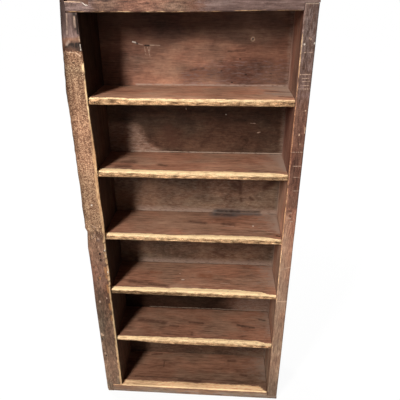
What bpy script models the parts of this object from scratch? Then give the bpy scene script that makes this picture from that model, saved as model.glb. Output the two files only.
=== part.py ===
"""Open wall cabinet nailed together from old pine boards.

Two unlike sides, a top and a bottom make the case, with five fixed shelves and a back of four
horizontal boards.  The left side is the thick one: its ends are rabbeted over the top and the
bottom, and its outer front edge still follows the tree.  The top laps over the right side, and
the bottom laps under it.

Metres, +Z up.  X = 0 is the middle of the width, Y = 0 the middle of the depth and Z = 0 the
underside.  The open front faces -Y, and the back boards lie against the wall at +Y.
"""

from math import cos, pi, radians, sin

import bmesh
import bpy
from mathutils import Matrix, Vector

# Case
CASE_WIDTH = 0.4113
CASE_HEIGHT = 0.870
SIDE_DEPTH = 0.110
LEFT_THICKNESS = 0.0385
RIGHT_THICKNESS = 0.0228
TOP_THICKNESS = 0.0214
BOTTOM_THICKNESS = 0.0222
JOINT_GAP = 0.0003

# Corner joints: what the rabbets leave of the left side, and what the laps leave of the top and
# the bottom
TOP_TONGUE = 0.020
BOTTOM_TONGUE = 0.0165
TOP_LAP = 0.008
BOTTOM_LAP = 0.0075

# Shelves, from the lowest up, by the height of their undersides
SHELF_1_UNDERSIDE = 0.157
SHELF_2_UNDERSIDE = 0.2957
SHELF_3_UNDERSIDE = 0.4312
SHELF_4_UNDERSIDE = 0.5677
SHELF_5_UNDERSIDE = 0.7028
SHELF_1_THICKNESS = 0.0155
SHELF_THICKNESS = 0.013
SHELF_SETBACK = 0.004

# Back boards, which meet behind these shelves
BACK_THICKNESS = 0.011
BACK_JOINT_SHELVES = (2, 4, 5)
BACK_SHRINKAGE = 0.0008

# Worn edges
LEFT_OUTER_ARRIS = 0.003
LEFT_INNER_ARRIS = 0.0015
RIGHT_ARRIS = 0.0015
TOP_ARRIS = 0.0015
BOTTOM_ARRIS = 0.002
SHELF_NOSING = 0.0035
SHELF_UNDER_ARRIS = 0.0015
ARRIS_STEPS = 3

# Wane on the left side: the outer face curves in towards the top of the front edge
WANE_INSET = 0.0122
WANE_LENGTH = 0.178
WANE_DEPTH = 0.060
WANE_POWER = 1.5
WANE_STEPS = 5

# Nick in the outer front edge of the left side: where it is deepest, and how far it runs out
# above and below that
NICK_HEIGHT = 0.4500
NICK_SHOULDER = 0.0080
NICK_LENGTH = 0.036
NICK_INSET = 0.0035
NICK_DEPTH = 0.018

# Split-off chip in the top's front edge, beside the left side
CHIP_LENGTH = 0.038
CHIP_DROP = 0.0055
CHIP_TAIL_LENGTH = 0.012
CHIP_TAIL_DROP = 0.012
CHIP_DEPTH = 0.007

# Holes for the two hanging screws: distance in from the side's inner face, down from the top, and
# how far the bore climbs towards the wall
HANG_HOLE_LEFT_INSET = 0.0690
HANG_HOLE_LEFT_DROP = 0.079
HANG_HOLE_RIGHT_INSET = 0.0689
HANG_HOLE_RIGHT_DROP = 0.071
HANG_HOLE_RADIUS = 0.0022
HANG_HOLE_CLIMB = radians(20)

# Empty fastener holes in the left side's front edge: distance in from its outer face, the lower
# screw hole's height, and the others' heights from the screw holes or from the bottom board
SCREW_HOLE_INSET = 0.0260
SCREW_HOLE_HEIGHT = 0.3829
SCREW_HOLE_SPACING = 0.0164
SCREW_HOLE_RADIUS = 0.0022
SCREW_HOLE_DEPTH = 0.014
BRAD_HOLE_UPPER_INSET = 0.0185
BRAD_HOLE_UPPER_RISE = 0.0217
BRAD_HOLE_MIDDLE_INSET = 0.0132
BRAD_HOLE_MIDDLE_FALL = 0.0136
BRAD_HOLE_LOWER_INSET = 0.0193
BRAD_HOLE_LOWER_RISE = 0.0036
BRAD_HOLE_RADIUS = 0.0011
BRAD_HOLE_DEPTH = 0.008
HOLE_SIDES = 10

# Cut nails: square heads, and a square shank that tapers to a blunt point
NAIL_HEAD = 0.0052
NAIL_HEAD_THICKNESS = 0.0012
NAIL_SHANK = 0.0028
NAIL_TIP = 0.0013
NAIL_GRIP = 0.028
NAIL_SET = 0.0004
NAIL_EDGE = 0.024
NAIL_CLEARANCE = 0.012
BACK_NAIL_INSET = 0.045

# How far a cutter passes the face that it opens, the distance at which points are one, and the
# least normal component of a face that is square to an axis
CUT_OVERSHOOT = 0.006
WELD = 0.000001
SQUARE = 0.9999

# Places that follow from the sizes
SHELF_UNDERSIDES = (
    SHELF_1_UNDERSIDE,
    SHELF_2_UNDERSIDE,
    SHELF_3_UNDERSIDE,
    SHELF_4_UNDERSIDE,
    SHELF_5_UNDERSIDE,
)
SHELF_THICKNESSES = (SHELF_1_THICKNESS,) + 4 * (SHELF_THICKNESS,)
OVERALL_DEPTH = SIDE_DEPTH + JOINT_GAP + BACK_THICKNESS
LEFT = -CASE_WIDTH / 2
RIGHT = CASE_WIDTH / 2
FRONT = -OVERALL_DEPTH / 2
REAR = OVERALL_DEPTH / 2
SIDE_REAR = FRONT + SIDE_DEPTH
LEFT_INNER = LEFT + LEFT_THICKNESS
RIGHT_INNER = RIGHT - RIGHT_THICKNESS
TOP_LEFT = LEFT + TOP_TONGUE
BOTTOM_LEFT = LEFT + BOTTOM_TONGUE
TOP_UNDERSIDE = CASE_HEIGHT - TOP_THICKNESS
LAP_UNDERSIDE = CASE_HEIGHT - TOP_LAP
TOP_LEFT_NAIL_LINE = (TOP_LEFT + LEFT_INNER) / 2
BOTTOM_LEFT_NAIL_LINE = (BOTTOM_LEFT + LEFT_INNER) / 2
RIGHT_NAIL_LINE = (RIGHT_INNER + RIGHT) / 2

OUT_LEFT = Vector((-1, 0, 0))
OUT_RIGHT = Vector((1, 0, 0))
OUT_REAR = Vector((0, 1, 0))
OUT_FRONT = Vector((0, -1, 0))
OUT_TOP = Vector((0, 0, 1))
OUT_BOTTOM = Vector((0, 0, -1))


def clear_scene():
    for obj in list(bpy.data.objects):
        bpy.data.objects.remove(obj)


def new_collection(name):
    collection = bpy.data.collections.new(name)
    bpy.context.scene.collection.children.link(collection)
    return collection


def new_material(name, colour, roughness, metallic=0.0):
    material = bpy.data.materials.new(name)
    material.use_nodes = True
    shader = material.node_tree.nodes["Principled BSDF"]
    shader.inputs["Base Color"].default_value = (*colour, 1)
    shader.inputs["Roughness"].default_value = roughness
    shader.inputs["Metallic"].default_value = metallic
    return material


class Cabinet:
    """Holds the collections, the parent empty and the cutters that each board still has to take."""

    def __init__(self):
        self.parts = new_collection("wall_cabinet")
        self.cutter_collection = new_collection("cutters")
        self.parent = bpy.data.objects.new("wall_cabinet_frame", None)
        self.parts.objects.link(self.parent)
        self.boards = {}
        self.cutters = {}
        self.case_wood = new_material("case_wood", (0.150, 0.075, 0.045), 0.62)
        self.shelf_wood = new_material("shelf_wood", (0.190, 0.070, 0.036), 0.55)
        self.back_wood = new_material("back_wood", (0.170, 0.080, 0.045), 0.60)
        self.nail_iron = new_material("nail_iron", (0.060, 0.045, 0.038), 0.70, 0.8)

    def add(self, name, mesh, matrix, material):
        mesh.materials.append(material)
        obj = bpy.data.objects.new(name, mesh)
        self.parts.objects.link(obj)
        obj.parent = self.parent
        obj.matrix_world = matrix
        return obj

    def add_board(self, name, shape, low, material):
        """Takes a board's bmesh, which starts at its own low corner, and puts that corner at low."""
        mesh = finish_mesh(name, shape)
        self.boards[name] = self.add(name, mesh, Matrix.Translation(low), material)

    def cut(self, board, stage, shape, matrix):
        """Adds a cutter body, given in its own frame, to those of one stage of one board."""
        mesh = finish_mesh("cutter_body", shape)
        mesh.transform(matrix)
        self.cutters.setdefault((board, stage), bmesh.new()).from_mesh(mesh)
        bpy.data.meshes.remove(mesh)

    def make_cuts(self):
        """Turns the collected cutters into one hidden object and one Boolean for each stage."""
        for (board, stage), shape in self.cutters.items():
            name = f"cut_{board}_{stage}"
            cutter = bpy.data.objects.new(name, finish_mesh(name, shape))
            cutter.hide_render = True
            cutter.display_type = "WIRE"
            self.cutter_collection.objects.link(cutter)
            boolean = self.boards[board].modifiers.new(stage, "BOOLEAN")
            boolean.operation = "DIFFERENCE"
            boolean.solver = "EXACT"
            boolean.object = cutter


def finish_mesh(name, shape):
    """Makes a mesh of a closed shape, with its slanting faces in triangles, so that none is bent."""
    bmesh.ops.recalc_face_normals(shape, faces=shape.faces)
    slanting = [face for face in shape.faces if max(map(abs, face.normal)) < SQUARE]
    bmesh.ops.triangulate(shape, faces=slanting)
    mesh = bpy.data.meshes.new(name)
    shape.to_mesh(mesh)
    shape.free()
    return mesh


# Shapes

def box(size):
    """A box with one corner at its own origin."""
    shape = bmesh.new()
    bmesh.ops.create_cube(shape, size=1)
    bmesh.ops.translate(shape, vec=(0.5, 0.5, 0.5), verts=shape.verts)
    bmesh.ops.scale(shape, vec=size, verts=shape.verts)
    return shape


def box_between(low, high):
    """A box's shape and the matrix that puts its low corner in place."""
    low = Vector(low)
    return box(Vector(high) - low), Matrix.Translation(low)


def round_edge(shape, radius, is_on_edge):
    """Rounds the edges of a board whose two ends both pass the test."""
    edges = [edge for edge in shape.edges if all(is_on_edge(vert.co) for vert in edge.verts)]
    bmesh.ops.bevel(
        shape, geom=edges, offset=radius, segments=ARRIS_STEPS, profile=0.5,
        affect="EDGES", clamp_overlap=True,
    )


def on_low(value):
    return abs(value) < WELD


def slice_at(shape, place, normal):
    """Adds a loop of edges where a plane passes through a shape."""
    everything = list(shape.verts) + list(shape.edges) + list(shape.faces)
    bmesh.ops.bisect_plane(shape, geom=everything, dist=WELD, plane_co=place, plane_no=normal)


def cylinder(radius, length):
    """A cylinder down from its own origin along -Z, with an overshoot above it."""
    shape = bmesh.new()
    bmesh.ops.create_cone(
        shape, cap_ends=True, segments=HOLE_SIDES, radius1=radius, radius2=radius,
        depth=length + CUT_OVERSHOOT,
    )
    middle = (CUT_OVERSHOOT - length) / 2
    bmesh.ops.translate(shape, vec=(0, 0, middle), verts=shape.verts)
    return shape


def outline_prism(points, depth):
    """A flat outline in XZ, drawn out from y = -CUT_OVERSHOOT to y = depth."""
    curve = bpy.data.curves.new("outline", "CURVE")
    curve.dimensions = "2D"
    curve.fill_mode = "BOTH"
    curve.extrude = (depth + CUT_OVERSHOOT) / 2
    spline = curve.splines.new("POLY")
    spline.points.add(len(points) - 1)
    for point, (x, z) in zip(spline.points, points):
        point.co = (x, z, 0, 1)
    spline.use_cyclic_u = True
    guide = bpy.data.objects.new("outline", curve)
    bpy.context.scene.collection.objects.link(guide)
    graph = bpy.context.evaluated_depsgraph_get()
    mesh = bpy.data.meshes.new_from_object(guide.evaluated_get(graph))
    shape = bmesh.new()
    shape.from_mesh(mesh)
    bmesh.ops.remove_doubles(shape, verts=shape.verts, dist=WELD)
    bmesh.ops.rotate(shape, matrix=Matrix.Rotation(pi / 2, 3, "X"), verts=shape.verts)
    bmesh.ops.translate(shape, vec=(0, (depth - CUT_OVERSHOOT) / 2, 0), verts=shape.verts)
    bpy.data.objects.remove(guide)
    bpy.data.meshes.remove(mesh)
    bpy.data.curves.remove(curve)
    return shape


def square_spun(outline):
    """Turns half widths and heights, from the top down, into a body with a square section."""
    shape = bmesh.new()
    points = [shape.verts.new((half, half, height)) for half, height in outline]
    lines = [shape.edges.new(pair) for pair in zip(points, points[1:])]
    bmesh.ops.spin(
        shape, geom=points + lines, cent=(0, 0, 0), axis=(0, 0, 1), angle=2 * pi,
        steps=4, use_merge=True,
    )
    bmesh.ops.remove_doubles(shape, verts=shape.verts, dist=WELD)
    return shape


def nail_body(length, clearance=0.0, overshoot=0.0):
    """A cut nail from its head at z = 0 down, or, with a clearance, the hole that takes it."""
    head = NAIL_HEAD / 2 + clearance
    shank = NAIL_SHANK / 2 + clearance
    tip = NAIL_TIP / 2 + clearance
    under_head = -NAIL_HEAD_THICKNESS - clearance
    point = -length - clearance
    return square_spun((
        (0, overshoot),
        (head, overshoot),
        (head, under_head),
        (shank, under_head),
        (tip, point),
        (0, point),
    ))


def facing(place, out):
    """The matrix that puts a shape's origin at a place and its +Z along out."""
    turn = OUT_TOP.rotation_difference(out)
    return Matrix.Translation(place) @ turn.to_matrix().to_4x4()


# Boards

def wane_at(depth, height):
    """How far in the left side's outer face lies, at a depth from its front edge and a height."""
    rise = max(0.0, height - (CASE_HEIGHT - WANE_LENGTH)) / WANE_LENGTH
    return WANE_INSET * rise**WANE_POWER * max(0.0, 1 - depth / WANE_DEPTH)


def make_side_left(cabinet):
    shape = box((LEFT_THICKNESS, SIDE_DEPTH, CASE_HEIGHT))
    round_edge(shape, LEFT_INNER_ARRIS, lambda at: on_low(at.y) and not on_low(at.x))
    round_edge(shape, LEFT_OUTER_ARRIS, lambda at: on_low(at.y) and on_low(at.x))
    slice_at(shape, (0, WANE_DEPTH, 0), OUT_REAR)
    for step in range(1, WANE_STEPS + 1):
        slice_at(shape, (0, 0, CASE_HEIGHT - WANE_LENGTH * step / WANE_STEPS), OUT_TOP)
    for vert in shape.verts:
        share_outside = 1 - vert.co.x / LEFT_THICKNESS
        vert.co.x += share_outside * wane_at(vert.co.y, vert.co.z)
    cabinet.add_board("side_left", shape, (LEFT, FRONT, 0), cabinet.case_wood)

    past_inner = LEFT_INNER + CUT_OVERSHOOT
    past_front = FRONT - CUT_OVERSHOOT
    past_rear = SIDE_REAR + CUT_OVERSHOOT
    top_rabbet = box_between(
        (TOP_LEFT, past_front, TOP_UNDERSIDE - JOINT_GAP),
        (past_inner, past_rear, CASE_HEIGHT + CUT_OVERSHOOT),
    )
    bottom_rabbet = box_between(
        (BOTTOM_LEFT, past_front, -CUT_OVERSHOOT),
        (past_inner, past_rear, BOTTOM_THICKNESS + JOINT_GAP),
    )
    cabinet.cut("side_left", "joints", *top_rabbet)
    cabinet.cut("side_left", "joints", *bottom_rabbet)
    nick_reach = 1 + CUT_OVERSHOOT / NICK_INSET
    nick = outline_prism(
        (
            (-CUT_OVERSHOOT, NICK_HEIGHT + NICK_SHOULDER * nick_reach),
            (NICK_INSET, NICK_HEIGHT),
            (-CUT_OVERSHOOT, NICK_HEIGHT - NICK_LENGTH * nick_reach),
        ),
        NICK_DEPTH,
    )
    cabinet.cut("side_left", "joints", nick, Matrix.Translation((LEFT, FRONT, 0)))
    upper_screw = SCREW_HOLE_HEIGHT + SCREW_HOLE_SPACING
    for height in (SCREW_HOLE_HEIGHT, upper_screw):
        hole = cylinder(SCREW_HOLE_RADIUS, SCREW_HOLE_DEPTH)
        place = (LEFT + SCREW_HOLE_INSET, FRONT, height)
        cabinet.cut("side_left", "holes", hole, facing(place, OUT_FRONT))
    brad_places = (
        (BRAD_HOLE_UPPER_INSET, upper_screw + BRAD_HOLE_UPPER_RISE),
        (BRAD_HOLE_MIDDLE_INSET, SCREW_HOLE_HEIGHT - BRAD_HOLE_MIDDLE_FALL),
        (BRAD_HOLE_LOWER_INSET, BOTTOM_THICKNESS + BRAD_HOLE_LOWER_RISE),
    )
    for inset, height in brad_places:
        hole = cylinder(BRAD_HOLE_RADIUS, BRAD_HOLE_DEPTH)
        cabinet.cut("side_left", "holes", hole, facing((LEFT + inset, FRONT, height), OUT_FRONT))


def make_side_right(cabinet):
    low = Vector((RIGHT_INNER, FRONT, BOTTOM_LAP + JOINT_GAP))
    high = Vector((RIGHT, SIDE_REAR, LAP_UNDERSIDE - JOINT_GAP))
    shape = box(high - low)
    round_edge(shape, RIGHT_ARRIS, lambda at: on_low(at.y) and on_low(at.x))
    round_edge(shape, RIGHT_ARRIS, lambda at: on_low(at.y) and not on_low(at.x))
    cabinet.add_board("side_right", shape, low, cabinet.case_wood)


def make_top(cabinet):
    low = Vector((TOP_LEFT + JOINT_GAP, FRONT, TOP_UNDERSIDE))
    high = Vector((RIGHT, SIDE_REAR, CASE_HEIGHT))
    shape = box(high - low)
    round_edge(shape, TOP_ARRIS, lambda at: on_low(at.y) and on_low(at.z))
    round_edge(shape, TOP_ARRIS, lambda at: on_low(at.y) and not on_low(at.z))
    cabinet.add_board("top_board", shape, low, cabinet.case_wood)

    lap = box_between(
        (RIGHT_INNER - JOINT_GAP, FRONT - CUT_OVERSHOOT, TOP_UNDERSIDE - CUT_OVERSHOOT),
        (RIGHT + CUT_OVERSHOOT, SIDE_REAR + CUT_OVERSHOOT, LAP_UNDERSIDE),
    )
    cabinet.cut("top_board", "joints", *lap)
    chip = outline_prism(
        (
            (-CUT_OVERSHOOT, CUT_OVERSHOOT),
            (-CUT_OVERSHOOT, -CHIP_DROP),
            (CHIP_LENGTH - CHIP_TAIL_LENGTH, -CHIP_DROP),
            (CHIP_LENGTH, -CHIP_TAIL_DROP),
            (CHIP_LENGTH, CUT_OVERSHOOT),
        ),
        CHIP_DEPTH,
    )
    chip_place = (TOP_LEFT + JOINT_GAP, FRONT, CASE_HEIGHT)
    cabinet.cut("top_board", "joints", chip, Matrix.Translation(chip_place))


def make_bottom(cabinet):
    low = Vector((BOTTOM_LEFT + JOINT_GAP, FRONT, 0))
    high = Vector((RIGHT, SIDE_REAR, BOTTOM_THICKNESS))
    shape = box(high - low)
    round_edge(shape, BOTTOM_ARRIS, lambda at: on_low(at.y) and not on_low(at.z))
    cabinet.add_board("bottom_board", shape, low, cabinet.case_wood)

    lap = box_between(
        (RIGHT_INNER - JOINT_GAP, FRONT - CUT_OVERSHOOT, BOTTOM_LAP),
        (RIGHT + CUT_OVERSHOOT, SIDE_REAR + CUT_OVERSHOOT, BOTTOM_THICKNESS + CUT_OVERSHOOT),
    )
    cabinet.cut("bottom_board", "joints", *lap)


def shelf_middle(number):
    """The height of the middle of a shelf, counted from 1 at the lowest."""
    return SHELF_UNDERSIDES[number - 1] + SHELF_THICKNESSES[number - 1] / 2


def make_shelves(cabinet):
    sizes = zip(SHELF_UNDERSIDES, SHELF_THICKNESSES)
    for number, (underside, thickness) in enumerate(sizes, start=1):
        low = Vector((LEFT_INNER + JOINT_GAP, FRONT + SHELF_SETBACK, underside))
        high = Vector((RIGHT_INNER - JOINT_GAP, SIDE_REAR, underside + thickness))
        shape = box(high - low)
        round_edge(shape, SHELF_NOSING, lambda at: on_low(at.y) and not on_low(at.z))
        round_edge(shape, SHELF_UNDER_ARRIS, lambda at: on_low(at.y) and on_low(at.z))
        cabinet.add_board(f"shelf_{number}", shape, low, cabinet.shelf_wood)


def back_edges():
    """The lower and upper edge of each back board, from the lowest up."""
    joints = [shelf_middle(number) for number in BACK_JOINT_SHELVES]
    lower = [0.0] + [joint + BACK_SHRINKAGE / 2 for joint in joints]
    upper = [joint - BACK_SHRINKAGE / 2 for joint in joints] + [CASE_HEIGHT]
    return list(zip(lower, upper))


def make_back(cabinet):
    for number, (lower, upper) in enumerate(back_edges(), start=1):
        low = Vector((LEFT, SIDE_REAR + JOINT_GAP, lower))
        high = Vector((RIGHT, REAR, upper))
        cabinet.add_board(f"back_board_{number}", box(high - low), low, cabinet.back_wood)

    top_back = f"back_board_{len(back_edges())}"
    hang_places = (
        (LEFT_INNER + HANG_HOLE_LEFT_INSET, CASE_HEIGHT - HANG_HOLE_LEFT_DROP),
        (RIGHT_INNER - HANG_HOLE_RIGHT_INSET, CASE_HEIGHT - HANG_HOLE_RIGHT_DROP),
    )
    bore = Vector((0, cos(HANG_HOLE_CLIMB), sin(HANG_HOLE_CLIMB)))
    for x, z in hang_places:
        inner_end = Vector((x, SIDE_REAR + JOINT_GAP, z))
        outer_end = inner_end + bore * BACK_THICKNESS / bore.y
        hole = cylinder(HANG_HOLE_RADIUS, BACK_THICKNESS / bore.y + CUT_OVERSHOOT)
        cabinet.cut(top_back, "holes", hole, facing(outer_end, bore))


# Nails

def drive_nail(cabinet, name, place, out, passes, through, into):
    """Drives a nail in at a place, through the wood that it passes and on by its grip."""
    length = passes + NAIL_GRIP - NAIL_SET
    matrix = facing(Vector(place) - out * NAIL_SET, out)
    mesh = finish_mesh(name, nail_body(length))
    cabinet.add(name, mesh, matrix, cabinet.nail_iron)
    for board in (through, into):
        cabinet.cut(board, "nails", nail_body(length, JOINT_GAP, CUT_OVERSHOOT), matrix)


def nail_shelves(cabinet):
    rows = {
        "front": FRONT + SHELF_SETBACK + NAIL_EDGE,
        "rear": SIDE_REAR - NAIL_EDGE,
    }
    for number in range(1, len(SHELF_UNDERSIDES) + 1):
        z = shelf_middle(number)
        for row, y in rows.items():
            wane = wane_at(y - FRONT, z)
            drive_nail(
                cabinet, f"nail_shelf_{number}_left_{row}", (LEFT + wane, y, z), OUT_LEFT,
                LEFT_THICKNESS - wane, "side_left", f"shelf_{number}",
            )
            drive_nail(
                cabinet, f"nail_shelf_{number}_right_{row}", (RIGHT, y, z), OUT_RIGHT,
                RIGHT_THICKNESS, "side_right", f"shelf_{number}",
            )


def nail_ends(cabinet):
    """Nails down through the top and up through the bottom into both sides."""
    rows = {
        "front": FRONT + NAIL_EDGE,
        "rear": SIDE_REAR - NAIL_GRIP - NAIL_CLEARANCE,
    }
    sides = {
        "left": (TOP_LEFT_NAIL_LINE, TOP_THICKNESS, BOTTOM_LEFT_NAIL_LINE, BOTTOM_THICKNESS),
        "right": (RIGHT_NAIL_LINE, TOP_LAP, RIGHT_NAIL_LINE, BOTTOM_LAP),
    }
    for side, (top_x, top_passes, bottom_x, bottom_passes) in sides.items():
        for row, y in rows.items():
            drive_nail(
                cabinet, f"nail_top_{side}_{row}", (top_x, y, CASE_HEIGHT), OUT_TOP,
                top_passes, "top_board", f"side_{side}",
            )
            drive_nail(
                cabinet, f"nail_bottom_{side}_{row}", (bottom_x, y, 0), OUT_BOTTOM,
                bottom_passes, "bottom_board", f"side_{side}",
            )


def nail_back(cabinet):
    """Nails from behind into both sides, and into the shelves that lie within a back board."""
    sides = {
        "left": (LEFT + LEFT_INNER) / 2,
        "right": RIGHT_NAIL_LINE,
    }
    for number, (lower, upper) in enumerate(back_edges(), start=1):
        heights = {"lower": lower + BACK_NAIL_INSET, "upper": upper - BACK_NAIL_INSET}
        for side, x in sides.items():
            for row, z in heights.items():
                drive_nail(
                    cabinet, f"nail_back_{number}_{side}_{row}", (x, REAR, z), OUT_REAR,
                    BACK_THICKNESS, f"back_board_{number}", f"side_{side}",
                )
    opening_middle = (LEFT_INNER + RIGHT_INNER) / 2
    for number in range(1, len(SHELF_UNDERSIDES) + 1):
        if number in BACK_JOINT_SHELVES:
            continue
        z = shelf_middle(number)
        back_number = 1 + sum(z > upper for _, upper in back_edges())
        drive_nail(
            cabinet, f"nail_back_{back_number}_shelf_{number}", (opening_middle, REAR, z), OUT_REAR,
            BACK_THICKNESS, f"back_board_{back_number}", f"shelf_{number}",
        )


def main():
    clear_scene()
    cabinet = Cabinet()
    make_side_left(cabinet)
    make_side_right(cabinet)
    make_top(cabinet)
    make_bottom(cabinet)
    make_shelves(cabinet)
    make_back(cabinet)
    nail_shelves(cabinet)
    nail_ends(cabinet)
    nail_back(cabinet)
    cabinet.make_cuts()


main()
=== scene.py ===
import math

import bmesh
import bpy
import numpy as np
from mathutils import Matrix, Vector, noise


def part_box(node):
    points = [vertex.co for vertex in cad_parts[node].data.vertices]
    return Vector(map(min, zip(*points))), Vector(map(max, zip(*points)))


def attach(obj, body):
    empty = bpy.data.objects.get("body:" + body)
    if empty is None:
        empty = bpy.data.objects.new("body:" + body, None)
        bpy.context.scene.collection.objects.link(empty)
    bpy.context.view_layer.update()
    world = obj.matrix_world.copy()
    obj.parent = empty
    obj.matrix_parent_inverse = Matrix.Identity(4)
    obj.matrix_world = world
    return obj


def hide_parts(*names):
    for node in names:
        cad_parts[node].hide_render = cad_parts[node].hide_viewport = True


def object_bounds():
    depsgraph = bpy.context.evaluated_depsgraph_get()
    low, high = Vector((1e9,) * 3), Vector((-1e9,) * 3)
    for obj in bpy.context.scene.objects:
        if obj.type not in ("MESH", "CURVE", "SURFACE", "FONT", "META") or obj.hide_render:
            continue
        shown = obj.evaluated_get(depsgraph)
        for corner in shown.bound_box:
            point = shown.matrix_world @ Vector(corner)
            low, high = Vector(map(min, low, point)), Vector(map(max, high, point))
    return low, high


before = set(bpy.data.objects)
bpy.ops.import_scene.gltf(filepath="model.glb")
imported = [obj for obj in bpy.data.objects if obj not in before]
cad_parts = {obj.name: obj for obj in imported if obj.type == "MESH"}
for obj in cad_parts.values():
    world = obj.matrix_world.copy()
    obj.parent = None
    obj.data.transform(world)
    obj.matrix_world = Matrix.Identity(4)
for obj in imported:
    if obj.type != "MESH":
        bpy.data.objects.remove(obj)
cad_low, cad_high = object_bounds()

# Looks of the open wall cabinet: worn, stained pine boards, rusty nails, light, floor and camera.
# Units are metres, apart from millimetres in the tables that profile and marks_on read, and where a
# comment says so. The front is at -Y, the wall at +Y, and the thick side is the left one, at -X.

X, Y, Z = 0, 1, 2
MM = 0.001

# Camera
CAMERA_PLACE = (0.06995, -0.7696, 0.8809)
CAMERA_YAW = math.radians(3.711)
CAMERA_PITCH = math.radians(-26.44)
CAMERA_ROLL = math.radians(-0.2195)
CAMERA_SENSOR = 36.0
CAMERA_LENS = 38.22

# Light: a tall narrow panel at the front left, and two broad lamps that only reach the back and the sides
KEY_PLACE = (-0.725, -1.36, 1.59)
KEY_AIM = (0.0, 0.0, 0.45)
KEY_WIDTH = 0.27
KEY_HEIGHT = 0.85
KEY_POWER = 42.0
KEY_COLOUR = (1.0, 0.97, 0.93)
REAR_LAMPS = ((-1.5, 1.25, 1.3), (1.5, 1.25, 1.3))
REAR_SIZE = 0.9
REAR_POWER = 34.0
REAR_COLOUR = (1.0, 1.0, 1.0)
AMBIENT = 0.014

# Floor
FLOOR_HALF = 8.0
FLOOR_DROP = 0.0004
FLOOR_COLOUR = (0.45, 0.45, 0.45, 1.0)
FLOOR_ROUGHNESS = 0.9
FLOOR_GLOW = 0.93
FLOOR_NEAR = 0.6
FLOOR_FAR = 2.2
FLOOR_SHADOW_SHARE = 0.16

# Board grids, and the wear that all boards share
SKIN = 0.00005
LONG_STEP = 0.0030
CROSS_STEP = 0.0040
EDGE_SHARES = (0.0, 0.1, 0.22, 0.35, 0.5, 0.66, 0.83, 1.0)
CAD_MERGE = 0.000002
SMOOTH_ANGLE = math.radians(38)
ARRIS_WAVE = 0.04
HOLLOW_DEPTH = 0.0004
HOLLOW_LENGTH = 0.05
HOLLOW_WIDTH = 0.009

# The left side's natural edge, as in the CAD, with more taken off
WANE_LENGTH = 0.179
WANE_INSET = 0.0125
WANE_POWER = 1.42
WANE_DEPTH = 0.062
NICK_HEIGHT = 0.4498
NICK_SHOULDER = 0.0087
NICK_LENGTH = 0.0383
NICK_INSET = 0.0039
NICK_FULL_DEPTH = 0.0185
NICK_END_DEPTH = 0.032

# The stretch of the left side's front edge where the wood is torn
TORN_LOW = 0.455
TORN_HIGH = 0.7925

# How far the top's underside is worn up at the front of its right end, and where that starts and is full
TOP_LIFT = 0.0020
TOP_LIFT_START = 0.02
TOP_LIFT_END = 0.13

# Depth and length of the hollow under the lowest shelf's edge at its left end
UNDERCUT_DEPTH = 0.008
UNDERCUT_LENGTH = 0.110

# Faces that wear, marks and dust are placed by
FRONT = cad_low.y
BACK_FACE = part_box("back_board_1")[0][Y]
OPENING_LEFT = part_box("side_left")[1][X]
OPENING_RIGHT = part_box("side_right")[0][X]

# Shelves and back boards, which are numbered from 1, the lowest
SHELF_COUNT = 5
BACK_COUNT = 4


# Small helpers

def ripple(points, wave, seed):
    """Smooth noise from 0 to 1 at each point, about one swell for each wave length."""
    places = np.asarray(points, float) / wave + seed * 7.31
    values = np.array([noise.noise(place) for place in places])
    return np.clip(0.5 + 0.6 * values, 0.0, 1.0)


def ripple_along(axis, values, wave, seed):
    """The same noise along a line that follows one axis."""
    places = np.zeros((len(values), 3))
    places[:, axis] = values
    return ripple(places, wave, seed)


def ease(values, low, high):
    """0 below low, 1 above high, and a smooth rise between them. It falls where low is above high."""
    share = np.clip((values - low) / (high - low), 0.0, 1.0)
    return share * share * (3 - 2 * share)


def profile(places, table):
    """A table's columns at the places, on straight lines between its rows. A row starts with its place."""
    heads, *columns = zip(*table)
    found = [np.interp(places / MM, heads, column) for column in columns]
    return found if len(found) > 1 else found[0]


def spot(across, up, centre, half):
    """1 at the middle of an oval, falling to 0 at its rim."""
    away = np.hypot((across - centre[0]) / half[0], (up - centre[1]) / half[1])
    return 1 - ease(away, 0.45, 1.0)


def shelf_top(number):
    """Height of a shelf's upper face."""
    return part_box(f"shelf_{number}")[1][Z]


def ruled(low, high, step, edge):
    """Grid lines from low to high: close together within edge of both ends, and a step apart between."""
    near = [share * edge for share in EDGE_SHARES]
    count = max(1, round((high - low - 2 * edge) / step))
    middle = np.linspace(low + edge, high - edge, count + 1)[1:-1]
    return np.concatenate([[low + gap for gap in near], middle, [high - gap for gap in reversed(near)]])


def box_grid(lines):
    """Points and outward quads of a box whose faces are ruled by three lists of lines."""
    counts = tuple(len(one) for one in lines)
    places = np.stack(np.meshgrid(*lines, indexing="ij"), axis=-1)
    on_skin = np.zeros(counts, bool)
    for axis in range(3):
        for end in (0, -1):
            on_skin[(slice(None),) * axis + (end,)] = True
    numbers = np.full(counts, -1)
    numbers[on_skin] = np.arange(on_skin.sum())
    quads = []
    for axis in range(3):
        for end in (0, -1):
            sheet = np.take(numbers, end, axis=axis)
            corners = [sheet[:-1, :-1], sheet[1:, :-1], sheet[1:, 1:], sheet[:-1, 1:]]
            if (end == 0) != (axis == Y):
                corners.reverse()
            quads.append(np.stack(corners, axis=-1).reshape(-1, 4))
    return places[on_skin], np.concatenate(quads)


# Boards

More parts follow.
